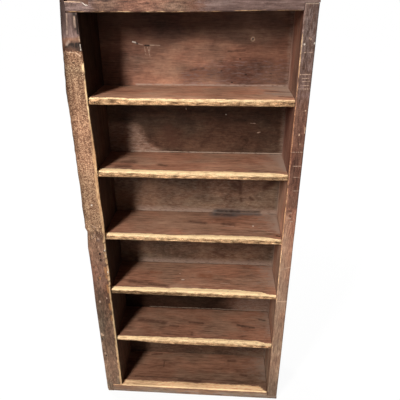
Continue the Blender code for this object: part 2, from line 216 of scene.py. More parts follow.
class Board:
    """One board as a fine grid that is worn down inside the CAD board, then cut to its joints and holes."""

    def __init__(self, node, grain, edge):
        self.node = node
        self.grain = grain
        self.cross = [axis for axis in (X, Y, Z) if axis != grain]
        low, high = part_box(node)
        self.low = np.array(low) + SKIN
        self.high = np.array(high) - SKIN
        lines = []
        for axis in (X, Y, Z):
            step = LONG_STEP if axis == grain else CROSS_STEP
            reach = min(edge, 0.45 * (self.high[axis] - self.low[axis]))
            lines.append(ruled(self.low[axis], self.high[axis], step, reach))
        self.points, self.quads = box_grid(lines)

    def inset(self, axis, side):
        """How far each point lies inside the face on this side of the axis."""
        if side > 0:
            return self.high[axis] - self.points[:, axis]
        return self.points[:, axis] - self.low[axis]

    def round_arris(self, sides, depths, seed, swing=0.35, axes=None):
        """Wears one arris round, by at least depths along two axes, and unevenly along the third."""
        axes = self.cross if axes is None else axes
        run = X + Y + Z - sum(axes)
        along = self.points[:, run]
        worn = 1 + swing * ripple_along(run, along, ARRIS_WAVE, seed)
        worn = worn + 0.4 * swing * ripple_along(run, along, 0.3 * ARRIS_WAVE, seed + 3)
        reaches = [depth * worn for depth in depths]
        shares = []
        for axis, side, reach in zip(axes, sides, reaches):
            shares.append(np.clip(1 - self.inset(axis, side) / reach, 0.0, 1.0))
        inside = (shares[0] > 0) & (shares[1] > 0)
        length = np.maximum(np.hypot(*shares), 1e-9)
        shrink = np.maximum(*shares) / length
        for axis, side, reach, share in zip(axes, sides, reaches, shares):
            face = self.high[axis] if side > 0 else self.low[axis]
            moved = face - side * reach * (1 - share * shrink)
            self.points[inside, axis] = moved[inside]

    def round_arrises(self, seed, *arrises):
        """Wears long arrises round. Each is given by its two sides, its depth and, if uncommon, its swing."""
        for count, (first, second, depth, *swing) in enumerate(arrises):
            self.round_arris((first, second), (depth, depth), seed + count, *swing)

    def normals(self):
        """Outward normal at each point."""
        corners = self.points[self.quads]
        across = np.cross(corners[:, 2] - corners[:, 0], corners[:, 3] - corners[:, 1])
        total = np.zeros_like(self.points)
        for corner in range(4):
            np.add.at(total, self.quads[:, corner], across)
        return total / np.maximum(np.linalg.norm(total, axis=1), 1e-12)[:, None]

    def sink(self, depth):
        """Moves each point inwards along its normal."""
        self.points = self.points - self.normals() * depth[:, None]

    def weather(self, seed, depth=HOLLOW_DEPTH):
        """Shallow hollows that run along the grain."""
        stretched = self.points / HOLLOW_WIDTH
        stretched[:, self.grain] = self.points[:, self.grain] / HOLLOW_LENGTH
        self.sink(depth * ripple(stretched, 1.0, seed) ** 2)

    def finish(self):
        """Keeps what lies inside the CAD board, and makes the piece that stands for it."""
        mesh = bpy.data.meshes.new(f"worn_{self.node}")
        mesh.from_pydata(self.points, [], self.quads)
        piece = bpy.data.objects.new(f"worn_{self.node}", mesh)
        bpy.context.scene.collection.objects.link(piece)
        solid = welded_copy(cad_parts[self.node])
        cut = piece.modifiers.new("cad_shape", "BOOLEAN")
        cut.operation = "INTERSECT"
        cut.solver = "MANIFOLD"
        cut.object = solid
        graph = bpy.context.evaluated_depsgraph_get()
        piece.data = bpy.data.meshes.new_from_object(piece.evaluated_get(graph))
        piece.modifiers.clear()
        bpy.data.objects.remove(solid)
        bpy.data.meshes.remove(mesh)
        piece.data.name = piece.name
        piece.data.materials.clear()
        piece.data.shade_smooth()
        piece.data.set_sharp_from_angle(angle=SMOOTH_ANGLE)
        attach(piece, "root")
        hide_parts(self.node)
        return piece


def welded_copy(node):
    """A closed copy of a CAD node, to cut with."""
    mesh = node.data.copy()
    shape = bmesh.new()
    shape.from_mesh(mesh)
    bmesh.ops.remove_doubles(shape, verts=shape.verts, dist=CAD_MERGE)
    shape.to_mesh(mesh)
    shape.free()
    solid = bpy.data.objects.new("cad_solid", mesh)
    bpy.context.scene.collection.objects.link(solid)
    return solid


def points_of(piece):
    """Places of a piece's vertices."""
    places = np.empty(len(piece.data.vertices) * 3, np.float32)
    piece.data.vertices.foreach_get("co", places)
    return places.reshape(-1, 3).astype(float)


# The masks that every board carries, with the value that leaves the wood plain
MASKS = dict.fromkeys(("bare", "cream", "torn", "bloom", "dust", "grime", "speck", "hue"), 0.0)
MASKS["tone"] = 1.0


def paint(piece, **masks):
    """Stores each mask as a value at every vertex, for the wood shader to read."""
    for name in MASKS:
        values = masks.get(name, MASKS[name])
        values = np.broadcast_to(values, len(piece.data.vertices)).astype(np.float32)
        layer = piece.data.attributes.new(name, "FLOAT", "POINT")
        layer.data.foreach_set("value", np.ascontiguousarray(values))


# Shaders

class Shader:
    """Shorthand for joining the nodes of a material or a world."""

    def __init__(self, owner):
        owner.use_nodes = True
        self.nodes = owner.node_tree.nodes
        self.links = owner.node_tree.links
        self.surface = self.nodes.get("Principled BSDF")

    def feed(self, node, inputs):
        """Links or sets inputs of a node."""
        for socket, value in inputs.items():
            if isinstance(value, bpy.types.NodeSocket):
                self.links.new(value, node.inputs[socket])
            else:
                node.inputs[socket].default_value = value

    def add(self, kind, inputs, **settings):
        node = self.nodes.new(kind)
        for name, value in settings.items():
            setattr(node, name, value)
        self.feed(node, inputs)
        return node

    def math(self, operation, first, second=0.0, third=0.0, clamp=False):
        inputs = {0: first, 1: second, 2: third}
        return self.add("ShaderNodeMath", inputs, operation=operation, use_clamp=clamp).outputs[0]

    def vector(self, operation, first, second, output="Vector"):
        node = self.add("ShaderNodeVectorMath", {0: first, 1: second}, operation=operation)
        return node.outputs[output]

    def times(self, vector, factor):
        return self.add("ShaderNodeVectorMath", {0: vector, "Scale": factor}, operation="SCALE").outputs[0]

    def place(self):
        return self.add("ShaderNodeTexCoord", {}).outputs["Object"]

    def scaled(self, place, factors, shift):
        inputs = {"Vector": place, "Scale": factors, "Location": (shift, 0.7 * shift, 1.3 * shift)}
        return self.add("ShaderNodeMapping", inputs).outputs[0]

    def noise(self, place, scale, detail, roughness, distortion=0.0):
        inputs = {"Vector": place, "Scale": scale, "Detail": detail, "Roughness": roughness}
        inputs["Distortion"] = distortion
        return self.add("ShaderNodeTexNoise", inputs).outputs["Fac"]

    def ease(self, value, low, high, start=0.0, end=1.0):
        inputs = {"Value": value, "From Min": low, "From Max": high, "To Min": start, "To Max": end}
        return self.add("ShaderNodeMapRange", inputs, interpolation_type="SMOOTHSTEP").outputs[0]

    def blend(self, *parts, shift=0.0):
        """The sum of weighted values, with a shift."""
        total = shift
        for weight, value in parts:
            total = self.math("MULTIPLY_ADD", value, weight, total)
        return total

    def ramp(self, value, places, colours):
        node = self.add("ShaderNodeValToRGB", {"Fac": value})
        band = node.color_ramp.elements
        while len(band) < len(places):
            band.new(0.5)
        for element, place, colour in zip(band, places, colours):
            element.position = place
            element.color = (*colour, 1.0)
        return node.outputs["Color"]

    def mix(self, share, first, second, blend="MIX"):
        inputs = {0: share}
        for socket, value in ((6, first), (7, second)):
            inputs[socket] = value if isinstance(value, bpy.types.NodeSocket) else (*value, 1.0)
        return self.add("ShaderNodeMix", inputs, data_type="RGBA", blend_type=blend).outputs[2]

    def mask(self, name):
        return self.add("ShaderNodeAttribute", {}, attribute_name=name).outputs["Fac"]

    def near_line(self, place, wander, start, end, width, soft):
        """1 within about half a width of a line, and 0 beyond it. A soft line fades slowly."""
        start, end = Vector(start), Vector(end)
        span = end - start
        offset = self.vector("SUBTRACT", place, start)
        along = self.vector("DOT_PRODUCT", offset, span / max(span.length_squared, 1e-9), "Value")
        along = self.math("ADD", along, 0.0, clamp=True)
        away = self.vector("SUBTRACT", offset, self.times(span, along))
        gap = self.math("ADD", self.vector("LENGTH", away, (0, 0, 0), "Value"), wander)
        if soft:
            return self.ease(gap, 0.0, 0.9 * width, 0.85, 0.0)
        return self.ease(gap, 0.3 * width, 0.6 * width, 1.0, 0.0)


# Wood colours, each from dark to light
CASE_STAIN = ((0.050, 0.024, 0.016), (0.150, 0.080, 0.052), (0.270, 0.158, 0.104))
RED_STAIN = ((0.055, 0.024, 0.017), (0.155, 0.077, 0.051), (0.270, 0.150, 0.100))
SHELF_STAIN = ((0.085, 0.038, 0.024), (0.255, 0.123, 0.078), (0.390, 0.205, 0.134))
BACK_STAIN = ((0.060, 0.028, 0.018), (0.175, 0.085, 0.056), (0.310, 0.165, 0.106))
BARE_WOOD = ((0.220, 0.105, 0.052), (0.500, 0.290, 0.150), (0.970, 0.715, 0.410))
TORN_WOOD = ((0.170, 0.080, 0.046), (0.370, 0.194, 0.110), (0.760, 0.475, 0.290))
# Grey-mauve bloom, used also as a painted sheen
BLOOM_AND_SHEEN = ((0.060, 0.036, 0.031), (0.150, 0.094, 0.083), (0.270, 0.188, 0.168))
RUST = ((0.020, 0.016, 0.014), (0.075, 0.038, 0.024), (0.170, 0.070, 0.030))
DUST = (0.270, 0.180, 0.138)
# Dark dirt, used also for painted shade
GRIME_AND_SHADE = (0.020, 0.011, 0.008)
PLAIN_TINT = (1.0, 1.0, 1.0)
WARM_TINT = (1.06, 0.96, 0.92)
COOL_TINT = (0.95, 1.02, 1.03)
OLIVE_TINT = (0.88, 1.16, 1.18)
RED_TINT = (1.02, 0.86, 0.88)
MARK_COLOURS = {
    "pale": (0.80, 0.70, 0.60),
    "worn": (0.66, 0.44, 0.30),
    "scratch": (0.46, 0.31, 0.23),
    "dust": (0.36, 0.26, 0.20),
    "haze": (0.360, 0.250, 0.195),
    "grey": (0.090, 0.076, 0.072),
    "dark": (0.018, 0.010, 0.007),
    "soot": (0.045, 0.027, 0.021),
    "stain": (0.085, 0.038, 0.025),
    "red": (0.230, 0.085, 0.045),
    "rust": (0.430, 0.200, 0.075),
}
SOFT_MARKS = ("haze", "grey", "soot", "stain", "red", "rust")

# Shares of streaks, bands, clouds, blotches, mottle, fibres and clumps in the figure of a board
BOLD_FIGURE = (0.14, 0.08, 0.16, 0.20, 0.28, 0.06, 0.10)
QUIET_FIGURE = (0.22, 0.06, 0.16, 0.08, 0.16, 0.28, 0.04)
CALM_FIGURE = (0.08, 0.06, 0.35, 0.16, 0.05, 0.20, 0.10)
ROUGH_FIGURE = (0.07, 0.06, 0.29, 0.15, 0.13, 0.11, 0.19)
SPECKLED_FIGURE = (0.05, 0.05, 0.22, 0.16, 0.36, 0.16, 0.0)
FINE_FIGURE = (0.10, 0.08, 0.22, 0.16, 0.20, 0.24, 0.0)


def cover(piece, board, stain, figure, seed, marks, fine=1.0, dash=0.5):
    """Covers a piece with old stained pine: figure, bare and torn wood, dust, dirt with painted shade, a
    bloom that is partly a painted sheen, specks and marks.
    """
    material = bpy.data.materials.new(f"pine_{board.node}")
    shader = Shader(material)
    place = shader.place()
    stretch = np.ones(3)
    stretch[board.grain] = 0.05
    long_place = shader.scaled(place, stretch, seed)
    stretch[board.grain] = 0.25
    short_place = shader.scaled(place, stretch, seed + 5.0)
    even_place = shader.scaled(place, (1.0, 1.0, 1.0), seed + 9.0)
    stretch[board.grain] = 0.5
    wide_place = shader.scaled(place, stretch, seed + 13.0)
    torn_place = shader.scaled(place, (0.7, 1.0, 1.0), seed + 17.0)
    streaks = shader.noise(long_place, 170.0 * fine, 5.0, 0.62, 0.35)
    bands = shader.noise(long_place, 40.0, 3.0, 0.5, 0.3)
    fibres = shader.noise(long_place, 900.0, 2.0, 0.6)
    clouds = shader.noise(even_place, 11.0, 4.0, 0.55, 0.4)
    mottle = shader.noise(short_place, 150.0 * fine, 5.0, 0.65, 0.6)
    flecks = shader.noise(short_place, 420.0, 3.0, 0.6)
    grit = shader.noise(torn_place, 640.0, 3.0, 0.65, 0.4)
    clumps = shader.noise(torn_place, 110.0, 3.0, 0.6, 1.0)
    specks = shader.noise(even_place, 480.0, 2.0, 0.55, 0.2)
    blotches = shader.noise(wide_place, 42.0, 4.0, 0.6, 0.6)
    hue = shader.noise(wide_place, 19.0, 3.0, 0.5, 0.4)

    # Stained wood, a bloom that is partly a painted sheen, bare and torn wood
    level = shader.blend(*zip(figure, (streaks, bands, clouds, blotches, mottle, fibres, clumps)))
    colour = shader.ramp(level, (0.40, 0.50, 0.60), stain)
    tint = shader.mix(shader.ease(hue, 0.38, 0.62), WARM_TINT, COOL_TINT)
    colour = shader.mix(1.0, colour, tint, "MULTIPLY")
    bloom_and_sheen_level = shader.blend((0.5, streaks), (0.3, mottle), (0.2, fibres))
    bloom_and_sheen_colour = shader.ramp(bloom_and_sheen_level, (0.36, 0.50, 0.64), BLOOM_AND_SHEEN)
    cream = shader.mask("cream")
    raw = shader.blend((0.30, fibres), (0.18, flecks), (0.20, streaks), (0.12, cream), shift=0.16)
    raw_colour = shader.ramp(raw, (0.40, 0.50, 0.62), BARE_WOOD)
    rough_level = shader.blend((0.62, grit), (0.12, clumps), (0.26, streaks))
    torn_colour = shader.ramp(rough_level, (0.43, 0.50, 0.575), TORN_WOOD)

    # One over the other, each with an uneven edge
    uneven = shader.blend((1.3, mottle), (1.2, flecks), shift=-1.25)
    bloom = shader.ease(shader.math("ADD", shader.mask("bloom"), uneven), 0.20, 0.80)
    colour = shader.mix(shader.math("MULTIPLY", bloom, 0.9), colour, bloom_and_sheen_colour)
    torn = shader.ease(shader.math("ADD", shader.mask("torn"), uneven), 0.35, 0.65)
    colour = shader.mix(torn, colour, torn_colour)
    bare = shader.ease(shader.math("MULTIPLY_ADD", uneven, 0.6, shader.mask("bare")), 0.32, 0.68)
    colour = shader.mix(bare, colour, raw_colour)
    dust = shader.ease(shader.math("ADD", shader.mask("dust"), uneven), 0.10, 1.10)
    colour = shader.mix(dust, colour, DUST)

    # Tone, hue, specks, and dirt that also carries painted shade
    colour = shader.times(colour, shader.mask("tone"))
    lean = shader.mask("hue")
    tint = shader.mix(shader.math("MAXIMUM", lean, 0.0), PLAIN_TINT, OLIVE_TINT)
    tint = shader.mix(shader.math("MULTIPLY", lean, -1.0, clamp=True), tint, RED_TINT)
    colour = shader.mix(1.0, colour, tint, "MULTIPLY")
    swing = shader.blend((0.5, specks), (0.6, flecks), shift=-0.55)
    swing = shader.math("MULTIPLY", shader.mask("speck"), swing)
    colour = shader.times(colour, shader.math("MAXIMUM", shader.math("MULTIPLY_ADD", swing, 6.0, 1.0), 0.15))
    grime = shader.ease(shader.math("ADD", shader.mask("grime"), uneven), 0.20, 0.90)
    colour = shader.mix(grime, colour, GRIME_AND_SHADE)
    dashes = shader.ease(flecks, 0.66, 0.74)
    colour = shader.mix(shader.math("MULTIPLY", dashes, dash), colour, MARK_COLOURS["dark"])
    wander = shader.math("MULTIPLY_ADD", mottle, 0.003, -0.0015)
    for kind, start, end, width in marks:
        covered = shader.near_line(place, wander, start, end, width, kind in SOFT_MARKS)
        covered = shader.math("MULTIPLY", covered, shader.ease(flecks, 0.36, 0.50, 0.35, 1.0))
        colour = shader.mix(covered, colour, MARK_COLOURS[kind])

    rough = shader.math("MULTIPLY_ADD", streaks, -0.25, 0.64)
    rough = shader.math("MULTIPLY_ADD", bare, 0.22, rough, clamp=True)
    shine = shader.math("MULTIPLY", shader.math("MINIMUM", shader.mask("tone"), 1.0), 0.18)
    height = shader.blend((0.6, streaks), (0.3, fibres))
    height = shader.math("MULTIPLY_ADD", shader.math("MULTIPLY", torn, rough_level), 1.6, height)
    height = shader.math("MULTIPLY_ADD", bare, -0.25, height)
    bump = shader.add("ShaderNodeBump", {"Strength": 0.6, "Distance": 0.0012, "Height": height}).outputs[0]
    looks = {"Base Color": colour, "Roughness": rough, "Specular IOR Level": shine, "Normal": bump}
    shader.feed(shader.surface, looks)
    piece.data.materials.append(material)


def rusty_iron():
    """Old cut nails: dark iron with brown rust."""
    material = bpy.data.materials.new("rusty_iron")
    shader = Shader(material)
    place = shader.place()
    rust = shader.noise(place, 900.0, 5.0, 0.65, 0.5)
    pits = shader.noise(place, 2600.0, 2.0, 0.5)
    colour = shader.ramp(rust, (0.36, 0.52, 0.68), RUST)
    rough = shader.ease(rust, 0.35, 0.65, 0.45, 0.9)
    metal = shader.ease(rust, 0.40, 0.55, 0.8, 0.1)
    bump = shader.add("ShaderNodeBump", {"Strength": 0.5, "Distance": 0.0003, "Height": pits}).outputs[0]
    shader.feed(shader.surface, {"Base Color": colour, "Roughness": rough, "Metallic": metal, "Normal": bump})
    return material


# Marks and dust

def marks_on(axis, level, groups):
    """Marks on the face at one level of an axis. A group is a kind, then its marks' ends and widths."""
    marks = []
    for kind, *lines in groups:
        for *ends, width in lines:
            start = np.insert(np.multiply(ends[:2], MM), axis, level)
            end = np.insert(np.multiply(ends[2:], MM), axis, level)
            marks.append((kind, start, end, MM * width))
    return marks


def corner_dust(x, y):
    """Grey dust that gathers on a shelf against the right side, most of all at the back."""
    reach = np.interp(y, (FRONT + 0.02, BACK_FACE), (0.010, 0.045))
    gap = OPENING_RIGHT - x
    spread = 0.55 * ease(gap, 0.110, 0.0) + 0.45 * ease(gap, reach, 0.0)
    return spread * ease(y, FRONT + 0.010, FRONT + 0.040)


# Left side

# How much more is taken off its outer edge at each height
LEFT_BOW = (
    (280, 0), (330, 1.1), (390, 1.1), (430, 0), (455, 0), (465, 0.6), (485, 0.6), (505, 0), (550, 1.3),
    (690, 1.3), (720, 0),
)

# Tone of its front edge at each height, and then hue, from red at -1 to olive at 1. The lighter tone low down
# is partly painted light, making up for the key lamp's fall-off there.
LEFT_TONES = (
    (0, 1.24), (60, 1.46), (90, 1.86), (120, 1.22), (150, 0.95), (180, 1.26), (210, 1.1), (240, 0.72),
    (300, 0.71), (330, 1.06), (360, 1.28), (390, 1.16), (420, 1.28), (450, 0.84), (480, 0.79), (540, 0.76),
    (570, 0.93), (600, 1.05), (630, 0.82), (660, 1.08), (690, 0.8), (720, 0.74), (760, 0.72), (790, 0.64),
    (800, 1.1), (810, 1.45), (830, 0.68),
)
LEFT_HUES = (
    (0, 0.35), (60, 0.5), (210, 0.5), (250, 0.25), (290, 0), (330, -0.7), (370, -0.7), (390, 0), (420, 0.3),
    (500, 0.1), (570, 0.1), (600, -0.2), (680, -0.2), (740, 0), (760, 0.3), (790, -0.4), (820, 0),
)

# Its worn inner arris: height, width, tone, and how bare it is
LEFT_ARRIS = (
    (20, 5.6, 1.2, 1), (120, 5.2, 1.2, 1), (160, 5, 0.85, 0.9), (200, 4.8, 0.85, 0.8), (280, 4.4, 0.9, 0.8),
    (360, 5.6, 1.02, 0.9), (400, 5, 0.7, 0.8), (440, 5.4, 0.88, 0.8), (500, 7, 1.22, 0.9),
    (600, 7.2, 1.42, 0.9), (640, 5.4, 1.08, 0.7), (660, 3.8, 1.05, 1), (710, 3.4, 1.1, 1), (742, 3, 1.2, 1),
    (748, 2, 1.1, 0.55), (757, 2, 1.1, 0.55), (761, 5, 1.4, 1), (769, 5, 1.4, 1), (773, 2, 1.1, 0.55),
    (786, 2, 1.1, 0.5),
)

# How far that arris stands out into the opening, in front of the shelves, at each height
LEFT_LIP = (
    (20, 0.4), (160, 0.3), (310, 0), (330, 1.8), (360, 2), (400, 1), (430, 1.5), (455, 3), (475, 3.2),
    (540, 1.8), (565, 2.2), (600, 3.3), (640, 2.5), (680, 0.8), (735, 0.8), (770, 1.5), (788, 1.2),
    (796, 0),
)

# How far it does so behind the front, and how far the bulge spreads across the edge
LIP_DEPTH = 0.0035
LIP_SPREAD = 0.012

# How far bare wood reaches round that arris onto the inner face at each height, and tone of that face. The
# bare strip is worn wood, widened towards the foot of each cell as a painted highlight; the face's dark tone
# is partly painted shade that deepens its shadow.
LEFT_ROUND = (
    (20, 3.5), (150, 3), (180, 2), (310, 2), (330, 7), (430, 5), (450, 10), (570, 8), (590, 11), (700, 5),
    (720, 5), (785, 6),
)
LEFT_WALL_TONES = (
    (160, 0.8), (180, 0.48), (300, 0.48), (320, 0.3), (440, 0.3), (460, 0.4), (570, 0.4), (590, 0.48),
    (700, 0.62), (720, 0.24),
)

# Marks on its front edge, by x and z
LEFT_MARKS = (
    ("soot", (-187, 798.2, -179, 802.2, 8.2), (-179, 802.2, -170.5, 800, 9.4),
        (-180, 798.5, -170, 796, 9)),
    ("dark", (-193, 797, -187, 801, 3), (-187, 801.2, -170, 802.2, 4.4), (-178, 799, -169, 798.5, 5)),
    ("worn", (-196, 788, -186, 789.5, 1.8), (-186, 789.5, -176, 788, 1.8), (-176, 788, -171, 784, 2.2)),
    ("haze", (-190.5, 801, -186.5, 806.2, 4)),
    ("worn", (-168.6, 812.5, -168, 806, 2.2)),
    ("pale", (-167.9, 801, -167.7, 793, 2.2)),
    ("haze", (-184, 846.4, -187.4, 817.2, 2.2), (-172.7, 842.5, -173.2, 828, 3.2)),
    ("scratch", (-172.6, 841.8, -172.8, 838.5, 2)),
    ("dark", (-168.5, 844, -170, 818, 3)),
    ("pale", (-184.6, 509.9, -184.6, 509.9, 4)),
    ("scratch", (-186.8, 446.2, -186.3, 441, 2), (-186.3, 441, -192.5, 436, 2),
        (-188, 464, -182, 461, 2.6)),
    ("pale", (-169.3, 408.3, -169, 406, 3.4), (-167.7, 399, -167.7, 397.5, 2.6)),
    ("dark", (-179.8, 399.2, -179.8, 398.8, 6), (-179.6, 383.6, -179.6, 383.2, 6.4)),
    ("red", (-192.1, 369.2, -192.1, 368.8, 5)),
    ("rust", (-173.2, 365, -172.8, 353, 5), (-172.3, 347, -172.8, 340, 4.4),
        (-172.6, 320, -172.2, 302, 4.6), (-173, 270, -172.2, 256, 4.4), (-172.5, 238, -172.2, 225, 3.6),
        (-187, 340, -186.6, 337, 3.6)),
    ("pale", (-168.4, 356, -168.4, 354, 3)),
    ("scratch", (-177.5, 287.5, -177.5, 285.5, 3), (-193.6, 277.4, -193.8, 275, 3.4)),
    ("worn", (-200, 183.5, -198.5, 179.5, 5.8)),
    ("dark", (-200.5, 170, -199.8, 166, 4)),
    ("scratch", (-202, 156, -201.5, 150, 3.4)),
    ("worn", (-197.7, 124.5, -197, 121.5, 5)),
    ("dark", (-196, 118, -195.5, 116, 4), (-188.5, 772.2, -180, 773.2, 2.2)),
)

# Spots where stain still covers the worn inner arris, in millimetres: heights, ends in x, slope and width
ARRIS_BREAKS = (425, 405, 388, 372, 345, 330, 318)
BREAK_LEFT, BREAK_RIGHT = -170, -166.8
BREAK_SLOPE = 2
BREAK_WIDTH = 3.6


def wane_at(board, z):
    """How far the waney edge is taken in at a height."""
    rise = np.clip((z - (board.high[Z] - WANE_LENGTH)) / WANE_LENGTH, 0.0, 1.0)
    return WANE_INSET * rise ** WANE_POWER


def wear_left_side(board):
    """Takes the waney edge, the nick and the torn fibres off the left side's grid."""
    z = board.points[:, Z]
    depth = board.inset(Y, -1)
    outer_share = 1 - ease(board.inset(X, -1), 0.0, 0.030)
    wane = wane_at(board, z) * np.clip(1 - depth / WANE_DEPTH, 0.0, 1.0)
    nick_ends = (NICK_HEIGHT - NICK_LENGTH, NICK_HEIGHT, NICK_HEIGHT + NICK_SHOULDER)
    nick = NICK_INSET * np.interp(z, nick_ends, (0.0, 1.0, 0.0))
    nick = nick * ease(depth, NICK_END_DEPTH, NICK_FULL_DEPTH)
    board.points[:, X] += outer_share * (wane + nick + MM * profile(z, LEFT_BOW))
    torn = ease(z, TORN_LOW - 0.02, TORN_LOW + 0.02) * ease(z, TORN_HIGH + 0.01, TORN_HIGH - 0.02)
    torn = torn * ease(depth, 0.012, 0.002)
    stretched = board.points * (1.0, 1.0, 0.6)
    board.sink(0.0010 * torn * ripple(stretched, 0.0055, 5) + 0.0003 * ripple(stretched, 0.02, 6))
    board.weather(7)


def lip_at(z, depth):
    """How far the inner arris stands out at a height and a depth from the front."""
    return MM * profile(z, LEFT_LIP) * ease(depth, LIP_DEPTH, 0.4 * LIP_DEPTH)


def bulge_left_side(piece, board):
    """Moves the left side's inner arris out into the opening."""
    places = points_of(piece)
    share = ease(board.high[X] - places[:, X], LIP_SPREAD, 0.0)
    places[:, X] += share * lip_at(places[:, Z], places[:, Y] - board.low[Y])
    piece.data.vertices.foreach_set("co", places.astype(np.float32).ravel())
    piece.data.update()


def make_side_left():
    board = Board("side_left", Z, 0.0065)
    board.round_arrises(1, (-1, -1, 0.0036, 0.6), (1, -1, 0.0018, 0.3), (-1, 1, 0.0008), (1, 1, 0.0008))
    board.round_arris((-1, -1), (0.0045, 0.0060), 8, axes=(X, Z))
    wear_left_side(board)
    piece = board.finish()
    bulge_left_side(piece, board)

    x, y, z = points_of(piece).T
    depth = y - board.low[Y]
    front = ease(depth, 0.010, 0.004)
    inner = board.high[X] + lip_at(z, depth) - x
    outer = x - board.low[X] - wane_at(board, z) - MM * profile(z, LEFT_BOW)

    # The inner arris, and the bare wood round it
    width, arris_tone, arris_share = profile(z, LEFT_ARRIS)
    width = MM * width * (0.35 + 0.8 * ripple_along(Z, z, 0.014, 9) + 0.5 * ripple_along(Z, z, 0.005, 18))
    arris = ease(inner, 1.35 * width, 0.55 * width) * ease(depth, 0.004, 0.0015)
    arris = arris * arris_share * ease(z, 0.789, 0.785)
    inside = ease(inner, 0.002, 0.0005) * ease(depth, 0.0010, 0.0030)
    reach = MM * profile(z, LEFT_ROUND) * (0.7 + 0.6 * ripple_along(Z, z, 0.02, 17))
    around = inside * ease(depth, 1.5 * reach, 0.4 * reach) * ease(z, 0.79, 0.78)

    # Patches of the front edge
    torn = front * ease(z, TORN_LOW - 0.02, TORN_LOW + 0.015) * ease(z, TORN_HIGH + 0.002, TORN_HIGH - 0.005)
    half_torn = 0.45 * front * ease(z, 0.40, 0.45) * ease(z, 0.47, 0.46)
    olive = spot(x, z, (-0.1855, 0.7495), (0.0060, 0.0150)) * front
    grey = spot(x, z, (-0.1804, 0.4328), (0.0070, 0.0090)) * front
    # The crown's grey-mauve bloom, at the top of the front edge, is a painted sheen.
    crown = front * ease(z, 0.806, 0.818)
    crown_edge = crown * ease(inner, 0.0085, 0.0065) * ease(inner, 0.0015, 0.0030) * ease(z, 0.816, 0.826)
    # A dark band along the outer arris: painted shade on that shadowed arris.
    rim = ease(outer, 0.0052, 0.0020) * front * ease(z, 0.28, 0.32) * ease(z, 0.80, 0.77)
    rim = rim * (0.45 + 0.55 * ripple_along(Z, z, 0.03, 10))
    # The facet at the top of the outer edge is made lighter: painted light on that facet, which catches the
    # light.
    facet = ease(outer, 0.0085, 0.0055) * ease(z, 0.785, 0.80)

    # Darker towards the outer edge, as painted shade on the shadowed outer arris.
    rim_tone = np.interp(z, (0.50, 0.60, 0.66, 0.76, 0.79), (0.50, 0.66, 0.45, 0.45, 0.25))
    across = rim_tone + (1.02 - rim_tone) * ease(outer, 0.001, 0.016) - 0.08 * ease(inner, 0.014, 0.008)
    zones = profile(z, LEFT_TONES) * (1 + (across - 1) * ease(z, 0.45, 0.50))
    face = zones + (arris_tone - zones) * arris
    outside = (1 + (face - 1) * front) * (1 + 0.3 * facet)
    wall = profile(z, LEFT_WALL_TONES)
    cream = np.interp(z, (0.20, 0.35, 0.45, 0.66, 0.70), (0.5, 0.35, 0.1, 0.1, 0.7))
    speck = np.interp(z, (0.0, 0.10, 0.20, 0.44, 0.48), (0.6, 0.6, 0.7, 0.7, 0.3))
    paint(
        piece,
        bare=np.maximum(arris, around),
        cream=cream * ease(inner, 0.004, 0.001),
        torn=np.maximum(torn, half_torn),
        bloom=np.maximum.reduce([crown, 0.7 * olive, 0.6 * grey]),
        grime=np.maximum(0.75 * rim, 0.8 * crown_edge),
        speck=front * (1 - arris) * speck,
        hue=front * (1 - arris) * profile(z, LEFT_HUES),
        tone=np.where(inside > 0.5, wall + (arris_tone - wall) * around, outside),
    )
    breaks = ["stain"]
    for height in ARRIS_BREAKS:
        breaks.append((BREAK_LEFT, height, BREAK_RIGHT, height + BREAK_SLOPE, BREAK_WIDTH))
    marks = marks_on(Y, FRONT, (*LEFT_MARKS, breaks))
    cover(piece, board, CASE_STAIN, BOLD_FIGURE, 1.0, marks)


# Right side

# Tone and hue of its front edge at each height, and how bare its inner arris is. The much lighter tone of the
# lower half is partly painted light, making up for the key lamp's fall-off there.
RIGHT_TONES = (
    (0, 1.4), (45, 1.46), (75, 2.05), (110, 3.15), (150, 3.2), (190, 2.75), (270, 2.8), (320, 3.25),
    (360, 3.25), (460, 2.45), (505, 2.3), (513, 2), (517, 1.1), (600, 0.98), (640, 0.88), (700, 1.12),
    (840, 0.96),
)
RIGHT_HUES = (
    (0, 0.8), (150, 1), (190, 0.9), (230, 0.65), (310, 0.4), (390, 0.6), (430, 0.25), (510, 0), (550, -0.5),
    (670, -1), (710, -0.5), (750, 0), (830, 0.3),
)
RIGHT_ARRIS = ((0, 0.35), (200, 0.4), (300, 0.52), (500, 0.85), (815, 0.85), (822, 0.3))

# Tone of its inner face at each height, and then hue
RIGHT_WALL_TONES = (
    (150, 1.08), (180, 1.12), (420, 1.2), (450, 1.52), (560, 1.52), (590, 0.65), (690, 0.65), (720, 0.95),
)
RIGHT_WALL_HUES = ((150, 0.6), (180, 0.2), (560, 0.1), (590, -1), (690, -1), (720, -0.5))

# Scratches across its front edge: height, shares of the width that they start and end at, and slope
RIGHT_SCRATCHES = (
    (790.8, 0.27, 0.82, 0.3), (757, 0.14, 0.92, 0.4), (750.9, 0.29, 0.78, 0.3), (745.8, 0.3, 0.92, 1),
    (739.5, 0.25, 0.8, 0.4), (734.2, 0.1, 0.94, 0.2), (625, 0.02, 0.92, 0.6), (599, 0.28, 0.92, 0.3),
    (577.7, 0.42, 0.95, 0.3), (550.6, 0.46, 0.98, 0.3),
)
RIGHT_SCRATCH_WIDTH = 1.2

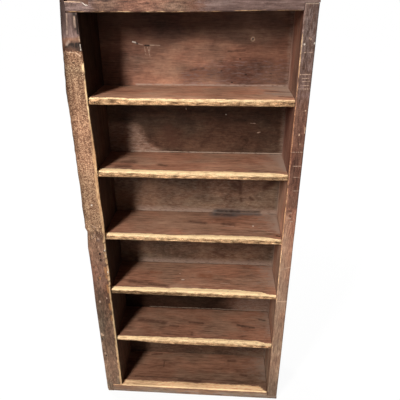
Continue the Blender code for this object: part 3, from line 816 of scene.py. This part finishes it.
# Other marks on its front edge, by x and z
RIGHT_MARKS = (
    ("pale", (187.8, 802.8, 187.8, 802.8, 3.4), (203.4, 804.9, 203.4, 804, 2.6)),
    ("worn", (194.7, 657.5, 194.7, 656, 2), (197.4, 640.5, 197.4, 639, 2),
        (200.6, 698.4, 200.6, 698.4, 2.8), (203, 670, 203.4, 660, 2.2)),
    ("scratch", (195, 812, 197, 810.5, 2.6)),
    ("dust", (185, 861.2, 205, 861.2, 2.4), (184, 8.8, 204, 8.8, 3)),
    ("worn", (183.5, 295, 206, 295.6, 3), (195, 379.5, 205, 382.5, 2.4)),
    ("scratch", (186, 375.5, 196, 380, 2.2), (193, 505.5, 194.5, 505, 2.8), (190.5, 494, 195, 493.6, 2),
        (194, 486.8, 198.5, 486.8, 2.4)),
    ("stain", (191.5, 509.5, 193.5, 509, 4.4), (192, 499, 194.5, 498, 3.6)),
)


def make_side_right():
    board = Board("side_right", Z, 0.004)
    board.round_arrises(11, (-1, -1, 0.0018, 0.7), (1, -1, 0.0018, 0.7), (-1, 1, 0.0008), (1, 1, 0.0008))
    board.weather(15)
    piece = board.finish()

    x, y, z = points_of(piece).T
    depth = y - board.low[Y]
    front = ease(depth, 0.008, 0.003)
    inner = x - board.low[X]
    at_edge = ease(depth, 0.003, 0.001)
    inner_arris = ease(inner, 0.0022, 0.0008) * at_edge * profile(z, RIGHT_ARRIS)
    inner_arris = inner_arris * (0.5 + 0.6 * ripple_along(Z, z, 0.03, 16))
    outer_arris = ease(board.high[X] - x, 0.0022, 0.0008) * at_edge
    width = np.interp(z, (0.30, 0.40, 0.55, 0.65), (0.0022, 0.0052, 0.0052, 0.0024))
    broad_arris = ease(inner, width, 0.5 * width) * front * np.interp(z, (0.30, 0.40), (0.0, 1.0))
    tone = profile(z, RIGHT_TONES)
    tone = tone + 0.7 * broad_arris * ease(inner_arris, 0.5, 0.0) * np.maximum(2.3 - tone, 0.0)

    on_wall = (1 - front) * ease(inner, 0.006, 0.002)
    wall_tone = profile(z, RIGHT_WALL_TONES) * np.interp(depth, (0.010, 0.025, 0.10), (1.15, 1.55, 1.45))
    wall_tone = wall_tone * (1 - 0.4 * ease(z, 0.70, 0.73) * ease(depth, 0.07, 0.04))
    wall_dust = (0.75 + 0.45 * ease(z, 0.71, 0.73)) * ease(BACK_FACE - y, 0.026, 0.006)
    paint(
        piece,
        bare=np.maximum(inner_arris, 0.30 * outer_arris),
        cream=-0.4 * inner_arris,
        # The grey-mauve bloom on the upper front edge is a painted sheen.
        bloom=0.60 * front * ease(z, 0.69, 0.73),
        dust=on_wall * wall_dust,
        speck=front * np.interp(z, (0.42, 0.52, 0.70, 0.80), (0.25, 0.5, 0.5, 0.55)),
        hue=front * profile(z, RIGHT_HUES) + on_wall * profile(z, RIGHT_WALL_HUES),
        tone=1 + front * (tone - 1) + on_wall * (wall_tone - 1),
    )
    left = board.low[X] / MM
    span = board.high[X] / MM - left
    scratches = ["scratch"]
    for height, start, end, slope in RIGHT_SCRATCHES:
        ends = (left + start * span, height, left + end * span, height + slope)
        scratches.append((*ends, RIGHT_SCRATCH_WIDTH))
    marks = marks_on(Y, FRONT, (*RIGHT_MARKS, scratches))
    cover(piece, board, RED_STAIN, FINE_FIGURE, 2.0, marks, 1.5)


# Top

# Change of tone along its front edge, by x
TOP_TONES = (
    (-120, 0.1), (-90, 0.32), (-60, 0.4), (-30, 0.22), (0, -0.18), (30, 0.04), (60, -0.1), (90, 0.13),
    (120, 0), (150, -0.06), (180, 0.02),
)

# The pale splinter along the chip, by x and z, and the kind of each stretch of it. It is raw wood at the
# broken edge, made paler partly as a painted highlight where that edge catches the light.
CHIP_SPLINTER = ((-185.3, 864), (-158, 863.2), (-152, 858.4), (-148, 859.6))
SPLINTER_KINDS = ("worn", "pale", "pale")
SPLINTER_WIDTH = 1.4


def make_top():
    board = Board("top_board", X, 0.004)
    board.round_arrises(21, (-1, 1, 0.0018, 0.7), (-1, -1, 0.0018, 0.7), (1, 1, 0.0008), (1, -1, 0.0008))
    lift = TOP_LIFT * ease(board.points[:, X], TOP_LIFT_START, TOP_LIFT_END)
    lift = lift * (1 - ease(board.inset(Y, -1), 0.01, 0.06))
    board.points[:, Z] += lift * board.inset(Z, 1) / (board.high[Z] - board.low[Z])
    board.weather(25)
    piece = board.finish()

    x, y, z = points_of(piece).T
    depth = y - board.low[Y]
    front = ease(depth, 0.008, 0.003)
    rise = z - board.low[Z] - TOP_LIFT * ease(x, TOP_LIFT_START, TOP_LIFT_END)
    under_arris = ease(rise, 0.0030, 0.0010) * ease(depth, 0.004, 0.001)
    under_arris = under_arris * (0.2 + 0.9 * ripple_along(X, x, 0.02, 26))
    # The grey-mauve bloom on the right part and at the left end of the front edge is a painted sheen.
    mauve = np.maximum(0.9 * ease(x, -0.02, 0.06), 0.8 * ease(x, -0.13, -0.15))
    # The chip's face is painted dark, as painted shade in that recess.
    chip = front * ease(z, 0.8625, 0.8640) * ease(x, -0.150, -0.155)
    paint(
        piece,
        bare=0.75 * under_arris,
        bloom=front * mauve,
        grime=0.55 * chip,
        speck=front * np.interp(x, (-0.14, 0.0, 0.06), (0.6, 0.6, 0.25)),
        tone=1 + front * profile(x, TOP_TONES),
    )
    splinter = []
    for kind, start, end in zip(SPLINTER_KINDS, CHIP_SPLINTER, CHIP_SPLINTER[1:]):
        splinter.append((kind, (*start, *end, SPLINTER_WIDTH)))
    marks = marks_on(Y, FRONT, splinter)
    cover(piece, board, RED_STAIN, SPECKLED_FIGURE, 3.0, marks, 1.3)


# Bottom

# Marks on its upper face, by x and y
BOTTOM_MARKS = (
    ("stain", (90, 28.7, 108, 29, 8), (120, -13, 133, -15, 7), (-74.4, 16, -74, 1, 4),
        (-110, 38, -85, 42, 6)),
    ("soot", (-140, -33, -20, -33, 2)),
    ("stain", (-20, -33, 150, -33, 2), (-30, -38.5, 20, -39.5, 8)),
)

# Tone of the bare strip along its front, by x
STRIP_TONES = (
    (-155, 0.83), (-124, 0.72), (-90, 0.83), (-57, 1.09), (-20, 0.93), (10, 0.82), (45, 1), (77, 1.13),
    (110, 1.04), (150, 0.97),
)


def make_bottom():
    board = Board("bottom_board", X, 0.004)
    board.round_arrises(31, (-1, 1, 0.0023, 0.5), (-1, -1, 0.0010, 0.7), (1, 1, 0.0008), (1, -1, 0.0008))
    board.weather(35)
    piece = board.finish()

    x, y, z = points_of(piece).T
    depth = y - board.low[Y]
    sunk = board.high[Z] - z
    top = ease(sunk, 0.003, 0.001)
    front = ease(depth, 0.003, 0.001) * ease(sunk, 0.003, 0.005)
    reach = (0.0155 + 0.0015 * ripple_along(X, x, 0.03, 36)) * ease(OPENING_RIGHT - x, 0.0, 0.022)
    strip = ease(depth, reach + 0.0030, reach - 0.0030) * top
    arris = ease(depth, 0.004, 0.002) * ease(sunk, 0.0035, 0.0015)
    arris = arris * ease(x, board.low[X] + 0.020, board.low[X] + 0.026)
    arris = arris * ease(x, OPENING_RIGHT, OPENING_RIGHT - 0.004)
    worn = np.maximum(strip, arris)
    # The front face and the worn strip are painted lighter, partly as painted light that makes up for the key
    # lamp's fall-off low down.
    face = np.interp(sunk, (0.004, 0.014), (1.85, 1.4)) * np.interp(x, (-0.15, 0.0, 0.15), (0.78, 1.35, 1.2))
    worn_tone = (1 + 0.50 * worn - 0.15 * arris) * (1 + (profile(x, STRIP_TONES) - 1) * strip)
    # Lighter towards the back, as painted light that lifts the lowest shelf's shadow.
    inside = np.interp(depth, (0.016, 0.05, 0.08), (0.78, 0.88, 1.00))
    inside_tone = 1 + (inside - 1) * (1 - worn) * top
    paint(
        piece,
        bare=worn,
        cream=0.48 * strip + 0.5 * arris,
        bloom=front * np.interp(sunk, (0.004, 0.014), (0.15, 0.45)),
        dust=0.80 * corner_dust(x, y) * top * (1 - worn),
        hue=front * 0.8 + 0.25 * top * (1 - worn) - 0.50 * worn + 0.30 * arris,
        tone=(1 + (face - 1) * front) * worn_tone * inside_tone,
    )
    marks = marks_on(Z, board.high[Z], BOTTOM_MARKS)
    cover(piece, board, SHELF_STAIN, QUIET_FIGURE, 4.0, marks)


# Shelves, lowest first

# At five places along each shelf's edge: how many millimetres bare wood reaches over its top, what share
# of the edge is bright, and tone of the edge below that
EDGE_PLACES = (-0.13, -0.05, 0.07, 0.148, 0.172)
EDGE_REACHES = (
    (4.5, 6, 7, 6.5, 0.5),
    (10, 10, 12, 8.5, -0.5),
    (7.5, 6, 8.8, 8, 2.5),
    (12.5, 9, 9, 6.5, 3),
    (3, 0, -1, 0.5, 1.5),
)
EDGE_BRIGHT_SHARES = (
    (0.34, 0.28, 0.3, 0.34, 0.34),
    (0.18, 0.13, 0.2, 0.3, 0.36),
    (0.19, 0.2, 0.22, 0.2, 0.12),
    (0.13, 0.32, 0.38, 0.3, 0.2),
    (0.1, 0.34, 0.32, 0.2, 0.18),
)
EDGE_LOW_TONES = (
    (1.2, 1.1, 1.2, 1.35, 1.45),
    (0.4, 0.44, 0.84, 1, 1.15),
    (0.85, 1, 1.02, 1, 0.9),
    (0.74, 1.1, 1.15, 0.85, 0.74),
    (0.96, 0.98, 1, 0.8, 0.74),
)

# Tone and creaminess of the bright part of each edge, and tone and dust of each top. The bright part is worn
# pale wood, made lighter partly as a painted highlight along the rounded top arris.
BRIGHT_TONES = (1.2, 1.14, 1.02, 1.05, 0.96)
BRIGHT_CREAM = (0.7, 1, 0.9, 0.85, 0.8)
SHELF_TONES = (1.06, 1.28, 1.22, 1.36, 1.68)
SHELF_DUST = (0.6, 0.8, 1, 0.9, 1.1)

# Marks on the shelves' tops, by x and y
SHELF_MARKS = (
    (
        ("stain", (-125, 3, -65, -4, 14), (-5, 0.5, 25, -1, 7), (-50, -13, -33, -15, 7)),
        ("soot", (108, -2, 118, -5, 6.6), (118, -5, 145, -9, 5.6), (160, 19, 172, 17, 6.2)),
        ("stain", (2.9, -34, 3, -41, 6)),
    ),
    (
        ("pale", (-26, 6.2, -26, 6.2, 2.6), (-19.3, -15.4, -15, -15.4, 2.6)),
        ("stain", (-132.4, -27.4, -50, -39, 11)),
        ("red", (20, 3, 42, 0, 18), (-90, 8, -70, 6, 10)),
        ("scratch", (65, -23, 85, -24, 2)),
    ),
    (
        # The pale band and the grey patches at the back of this top are a painted sheen and a painted
        # reflection.
        ("haze", (50, 47, 160, 46, 11)),
        ("grey", (50, 40, 90, 38, 24)),
        ("soot", (54, 40, 86, 39, 10)),
        ("grey", (90, 43, 145, 44, 11)),
        ("haze", (177, 35, 179, -30, 6)),
        ("pale", (129.4, -6.9, 129.4, -6.9, 3.6)),
        ("scratch", (72, -9.8, 90, -12, 2.4)),
        ("stain", (70, -2, 88, -3, 12), (0, 4, 30, 0, 11)),
        ("scratch", (156, -28.8, 176, -33, 2.2)),
        ("dark", (174.7, -42.5, 179, -44, 5)),
        ("scratch", (-16, -38.3, 6, -38.5, 1.6)),
    ),
    (
        ("stain", (-128, -10.2, -108, -9.6, 14), (-56, -20, -44, -24, 11), (-135, -33, -110, -31, 9)),
        ("haze", (178, 30, 180, -35, 12)),
    ),
    (
        ("haze", (135, 34, 180, 24, 20), (142, -11, 180, -19, 17)),
        ("scratch", (144, 29, 181, 23, 11), (138, -6, 180, -14, 7), (152, -22, 181.5, -29, 7)),
        ("stain", (140, 8, 178, 0, 9), (160, -35, 180, -39, 7)),
    ),
)


def undercut(board):
    """Hollows out the lower half of the shelf's front edge towards its left end."""
    x, y, z = board.points.T
    sunk = (board.high[Z] - z) / (board.high[Z] - board.low[Z])
    share = ease(x - board.low[X], UNDERCUT_LENGTH, 0.0)
    near = ease(y - board.low[Y], 3 * UNDERCUT_DEPTH, UNDERCUT_DEPTH)
    board.points[:, Y] += UNDERCUT_DEPTH * share * near * ease(sunk, 0.50, 0.98)


def make_shelf(number):
    row = number - 1
    seed = 40 + 10 * number
    board = Board(f"shelf_{number}", X, 0.006)
    arrises = ((-1, 1, 0.0040, 0.4), (-1, -1, 0.0018, 0.8), (1, 1, 0.0006), (1, -1, 0.0006))
    board.round_arrises(seed + 1, *arrises)
    if number == 1:
        undercut(board)
    board.weather(seed + 5)
    piece = board.finish()

    x, y, z = points_of(piece).T
    depth = y - board.low[Y]
    sunk = (board.high[Z] - z) / (board.high[Z] - board.low[Z])
    right_gap = board.high[X] - x
    front = ease(depth, 0.0040, 0.0015)
    top = ease(sunk, 0.06, 0.02)
    under = ease(sunk, 0.97, 1.0) * ease(depth, 0.002, 0.004)
    rear = 0.5 * ease(board.high[Y] - y, 0.006, 0.001)
    reach = MM * np.interp(x, EDGE_PLACES, EDGE_REACHES[row]) * ease(right_gap, 0.001, 0.010)
    reach = reach * (0.8 + 0.4 * ripple_along(X, x, 0.03, seed + 6))
    bare = np.maximum(ease(depth, reach + 0.0026, reach - 0.0026), ease(depth, 0.0026, 0.0008))
    uneven = 0.16 * ripple_along(X, x, 0.012, seed + 7) - 0.08
    bright_end = np.interp(x, EDGE_PLACES, EDGE_BRIGHT_SHARES[row])
    lower = ease(sunk + uneven, bright_end - 0.02, bright_end + 0.22)
    patches = ripple(np.stack([x, 0 * x, 2.5 * z], axis=-1), 0.013, seed + 8)
    low_tone = np.interp(x, EDGE_PLACES, EDGE_LOW_TONES[row]) * (0.35 + 1.3 * patches)
    edge_tone = BRIGHT_TONES[row] + (low_tone - BRIGHT_TONES[row]) * lower
    dirty_end = ease(right_gap, 0.325, 0.345) + 0.6 * ease(right_gap, 0.04, 0.02)
    # Tone of the top: lighter towards the front and towards the right.
    top_tone = np.interp(depth, (0.012, 0.090), (1.18, 0.86)) * np.interp(x, (-0.15, 0.05), (0.86, 1.06))
    paint(
        piece,
        bare=bare * (1 - under),
        cream=BRIGHT_CREAM[row] - (BRIGHT_CREAM[row] + 0.1) * lower,
        dust=SHELF_DUST[row] * corner_dust(x, y) * top * (1 - bare),
        grime=np.maximum(0.25 * dirty_end * front * lower, rear),
        speck=front * (0.16 + lower * (0.55 + 0.6 * dirty_end)),
        hue=0.15 * (1 - bare),
        tone=SHELF_TONES[row] * top_tone * (1 - bare) + bare * edge_tone,
    )
    marks = marks_on(Z, board.high[Z], SHELF_MARKS[row])
    cover(piece, board, SHELF_STAIN, QUIET_FIGURE, 4.0 + number, marks, 1.4)


# Back

# Tone, dust and hue of the back in each of the six open cells, lowest first, and how far a cell's looks start
# under the top of its shelf
CELL_LOOKS = (
    (0.74, 0.10, 0.45),
    (0.20, 0.05, 0.10),
    (0.92, 0.20, 0.65),
    (1.10, 0.25, 0.60),
    (0.46, 0.0, 0.30),
    (1.0, 0.0, 0.0),
)
CELL_SINK = 0.006

# Paler ovals on the back: how much paler, centre and half size
BACK_GLOWS = (
    (0.24, (-0.085, 0.740), (0.080, 0.070)),
    (0.75, (0.030, 0.775), (0.100, 0.032)),
    (0.20, (0.100, 0.500), (0.120, 0.050)),
    (0.50, (0.0, 0.700), (0.30, 0.035)),
)

# Heights of the dusty corners at the right, and how dusty they are
DUSTY_CORNERS = ((0.036, 0.5), (0.188, 1.0))

# The line of dust where each shelf meets the back, lowest shelf first, in millimetres: kind, start at the
# left and width, and then how far all of them lie over the shelf
DUST_LINES = (
    ("dust", -110, 1.5), ("haze", -115, 18), ("haze", -115, 16), ("dust", -125, 2.4), ("haze", -105, 3.6),
)
DUST_RISE = 1

# Marks on the inner face, by x and z, and the worn ring round the right screw hole
BACK_MARKS = (
    ("pale", (-106, 794.3, -101.5, 793.2, 2.8), (-101.5, 793.2, -98.5, 790, 1.8)),
    ("scratch", (-96, 790.5, -88, 789, 1.6), (-74.3, 788.7, -55.8, 787.9, 1.8)),
    ("dark", (-84, 788, -76, 787.2, 2.4)),
    ("scratch", (-79, 785.2, -75.4, 767.6, 1.4), (-85, 785.2, -83, 772, 1), (-74.5, 786, -76, 776, 1)),
    ("dark", (90.8, 764.9, 93, 764.9, 2.2), (57.1, 743.2, 60, 743.2, 2), (76.4, 722.3, 79, 722.3, 1.8),
        (106.4, 722.6, 108.5, 722.6, 1.8), (102.1, 737, 104.5, 737, 1.8), (148.4, 738.5, 151, 738.5, 1.8)),
    ("stain", (0, 744, 25, 748, 4), (70, 778, 100, 780, 3.6), (105, 720, 135, 721.5, 4)),
    ("pale", (-9.9, 671.6, -9.6, 670, 3), (68.4, 660.8, 68.4, 660.8, 2.4)),
    ("scratch", (117, 644, 126, 643.5, 1.6), (132, 625, 136.5, 626.2, 2.2)),
    ("stain", (99, 545, 100, 518, 10), (102.2, 510, 103.2, 490, 8), (104, 479, 106, 472, 6),
        (89, 511, 97, 506, 9), (124, 480, 130, 476, 7), (154, 507, 170, 520, 14)),
    ("grey", (50, 446.8, 100, 446.2, 10)),
    ("soot", (56, 447.4, 85, 446.6, 7), (85, 446.6, 145, 447.4, 6.4)),
    ("stain", (48, 340, 70, 331, 9), (-48, 630, -35, 600, 20)),
)
RIGHT_HOLE = (113.5, 799.6)
RING_WIDTH = 8.5
RING_CORE = 2.8


def back_marks():
    """All marks on the inner face of the back, from the dust lines up."""
    groups = []
    for shelf, (kind, start, width) in enumerate(DUST_LINES, 1):
        height = shelf_top(shelf) / MM + DUST_RISE
        groups.append((kind, (start, height, OPENING_RIGHT / MM, height, width)))
    groups.extend(BACK_MARKS)
    groups.append(("worn", (*RIGHT_HOLE, *RIGHT_HOLE, RING_WIDTH)))
    groups.append(("dark", (*RIGHT_HOLE, *RIGHT_HOLE, RING_CORE)))
    return marks_on(Y, BACK_FACE, groups)


def make_back(number):
    seed = 100 + 10 * number
    board = Board(f"back_board_{number}", X, 0.003)
    board.round_arrises(seed, (-1, -1, 0.0007), (-1, 1, 0.0007), (1, -1, 0.0007), (1, 1, 0.0007))
    board.weather(seed + 5, 0.0005)
    piece = board.finish()

    x, y, z = points_of(piece).T
    inner = ease(board.high[Y] - y, 0.004, 0.008)
    inner = inner * (x > OPENING_LEFT - 0.004) * (x < OPENING_RIGHT + 0.004)
    top_cell = z > shelf_top(SHELF_COUNT) - CELL_SINK
    mauve_edge = np.interp(x, (-0.02, 0.02, 0.10), (0.741, 0.757, 0.766))
    mauve = ease(x, -0.034, -0.014) * ease(z - mauve_edge, 0.006, -0.006) * top_cell
    glow = sum(share * spot(x, z, centre, half) for share, centre, half in BACK_GLOWS)
    # Darker across the top of the highest cell, under the top board: painted shade that deepens the top's
    # shadow.
    soot = 0.45 * spot(x, z, (-0.070, 0.835), (0.20, 0.055))
    # A paler patch low at the left of the second cell from the top: a painted pool of light just right of the
    # left side's shadow.
    patch_edge = np.interp(z, (0.582, 0.600, 0.650), (-0.056, -0.088, -0.112))
    patch = ease(x - patch_edge, 0.012, -0.012) * ease(z, 0.650, 0.632) * ease(z, 0.580, 0.582)
    corner = 0.75 * ease(OPENING_RIGHT - x, 0.011, 0.001)
    for height, share in DUSTY_CORNERS:
        corner = np.maximum(corner, share * spot(x, z, (OPENING_RIGHT + 0.005, height), (0.135, 0.060)))
    cell = np.zeros(len(z), int)
    for shelf in range(1, SHELF_COUNT + 1):
        cell[z > shelf_top(shelf) - CELL_SINK] = shelf
    tone, dust, hue = np.array(CELL_LOOKS)[cell].T
    shade = 1 + glow - soot - 0.19 * mauve + 1.8 * patch
    paint(
        piece,
        bloom=0.35 * inner * mauve,
        dust=inner * np.maximum.reduce([dust, 0.50 * patch, 0.70 * corner]),
        speck=inner * np.where(top_cell, 0.08, 0.22),
        hue=inner * (hue - 0.15 * patch + 0.1 * glow - 1.1 * soot - 0.3 * mauve),
        tone=1 + inner * ((tone + (1 - tone) * corner) * shade - 1),
    )
    marks = [mark for mark in back_marks() if board.low[Z] <= mark[1][Z] <= board.high[Z]]
    figure = CALM_FIGURE if number == BACK_COUNT else ROUGH_FIGURE
    cover(piece, board, BACK_STAIN, figure, 10.0 + number, marks, 1.6, 0.2)


# All pieces

make_side_left()
make_side_right()
make_top()
make_bottom()
for number in range(1, SHELF_COUNT + 1):
    make_shelf(number)
for number in range(1, BACK_COUNT + 1):
    make_back(number)
iron = rusty_iron()
for name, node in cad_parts.items():
    if name.startswith("nail_"):
        for slot in node.material_slots:
            slot.material = iron


# Floor, light and camera

def seen_directly(shader):
    """1 for rays that come from the camera or by way of a mirror or glass, and 0 for light that spreads."""
    path = shader.add("ShaderNodeLightPath", {}).outputs
    seen = shader.math("MAXIMUM", path["Is Camera Ray"], path["Is Glossy Ray"])
    return shader.math("MAXIMUM", seen, path["Is Transmission Ray"])


def make_floor():
    shape = bmesh.new()
    bmesh.ops.create_grid(shape, x_segments=1, y_segments=1, size=FLOOR_HALF)
    mesh = bpy.data.meshes.new("floor")
    shape.to_mesh(mesh)
    shape.free()
    floor = bpy.data.objects.new("floor", mesh)
    floor.location.z = cad_low.z - FLOOR_DROP
    bpy.context.scene.collection.objects.link(floor)
    material = bpy.data.materials.new("pale_floor")
    shader = Shader(material)
    looks = {"Base Color": FLOOR_COLOUR, "Roughness": FLOOR_ROUGHNESS, "Specular IOR Level": 0.0}
    shader.feed(shader.surface, looks)
    away = shader.vector("LENGTH", shader.place(), (0, 0, 0), "Value")
    level = shader.ease(away, FLOOR_NEAR, FLOOR_FAR, FLOOR_GLOW, 1.0)
    strength = shader.math("DIVIDE", level, 1 - FLOOR_SHADOW_SHARE)
    glow = shader.add("ShaderNodeEmission", {"Strength": strength})
    share = shader.math("MULTIPLY", seen_directly(shader), 1 - FLOOR_SHADOW_SHARE)
    both = shader.add("ShaderNodeMixShader", {0: share, 1: shader.surface.outputs[0], 2: glow.outputs[0]})
    shader.feed(shader.nodes["Material Output"], {"Surface": both.outputs[0]})
    mesh.materials.append(material)


def make_world():
    world = bpy.data.worlds.new("studio")
    shader = Shader(world)
    strength = shader.math("MAXIMUM", seen_directly(shader), AMBIENT)
    shader.feed(shader.nodes["Background"], {"Strength": strength, "Color": (1.0, 1.0, 1.0, 1.0)})
    bpy.context.scene.world = world


def add_lamp(name, place, aim, width, height, power, colour):
    light = bpy.data.lights.new(name, "AREA")
    light.shape = "RECTANGLE"
    light.size = width
    light.size_y = height
    light.energy = power
    light.color = colour
    lamp = bpy.data.objects.new(name, light)
    lamp.location = place
    lamp.rotation_euler = (Vector(aim) - Vector(place)).to_track_quat("-Z", "Y").to_euler()
    bpy.context.scene.collection.objects.link(lamp)


def add_camera():
    camera = bpy.data.cameras.new("camera")
    camera.sensor_width = CAMERA_SENSOR
    camera.lens = CAMERA_LENS
    holder = bpy.data.objects.new("camera", camera)
    turn = Matrix.Rotation(CAMERA_YAW, 4, "Z") @ Matrix.Rotation(math.pi / 2 + CAMERA_PITCH, 4, "X")
    turn = turn @ Matrix.Rotation(CAMERA_ROLL, 4, "Z")
    holder.matrix_world = Matrix.Translation(CAMERA_PLACE) @ turn
    bpy.context.scene.collection.objects.link(holder)
    bpy.context.scene.camera = holder


make_floor()
make_world()
add_lamp("key", KEY_PLACE, KEY_AIM, KEY_WIDTH, KEY_HEIGHT, KEY_POWER, KEY_COLOUR)
for count, place in enumerate(REAR_LAMPS):
    add_lamp(f"rear_{count}", place, KEY_AIM, REAR_SIZE, REAR_SIZE, REAR_POWER, REAR_COLOUR)
add_camera()
bpy.context.scene.view_settings.view_transform = "Standard"
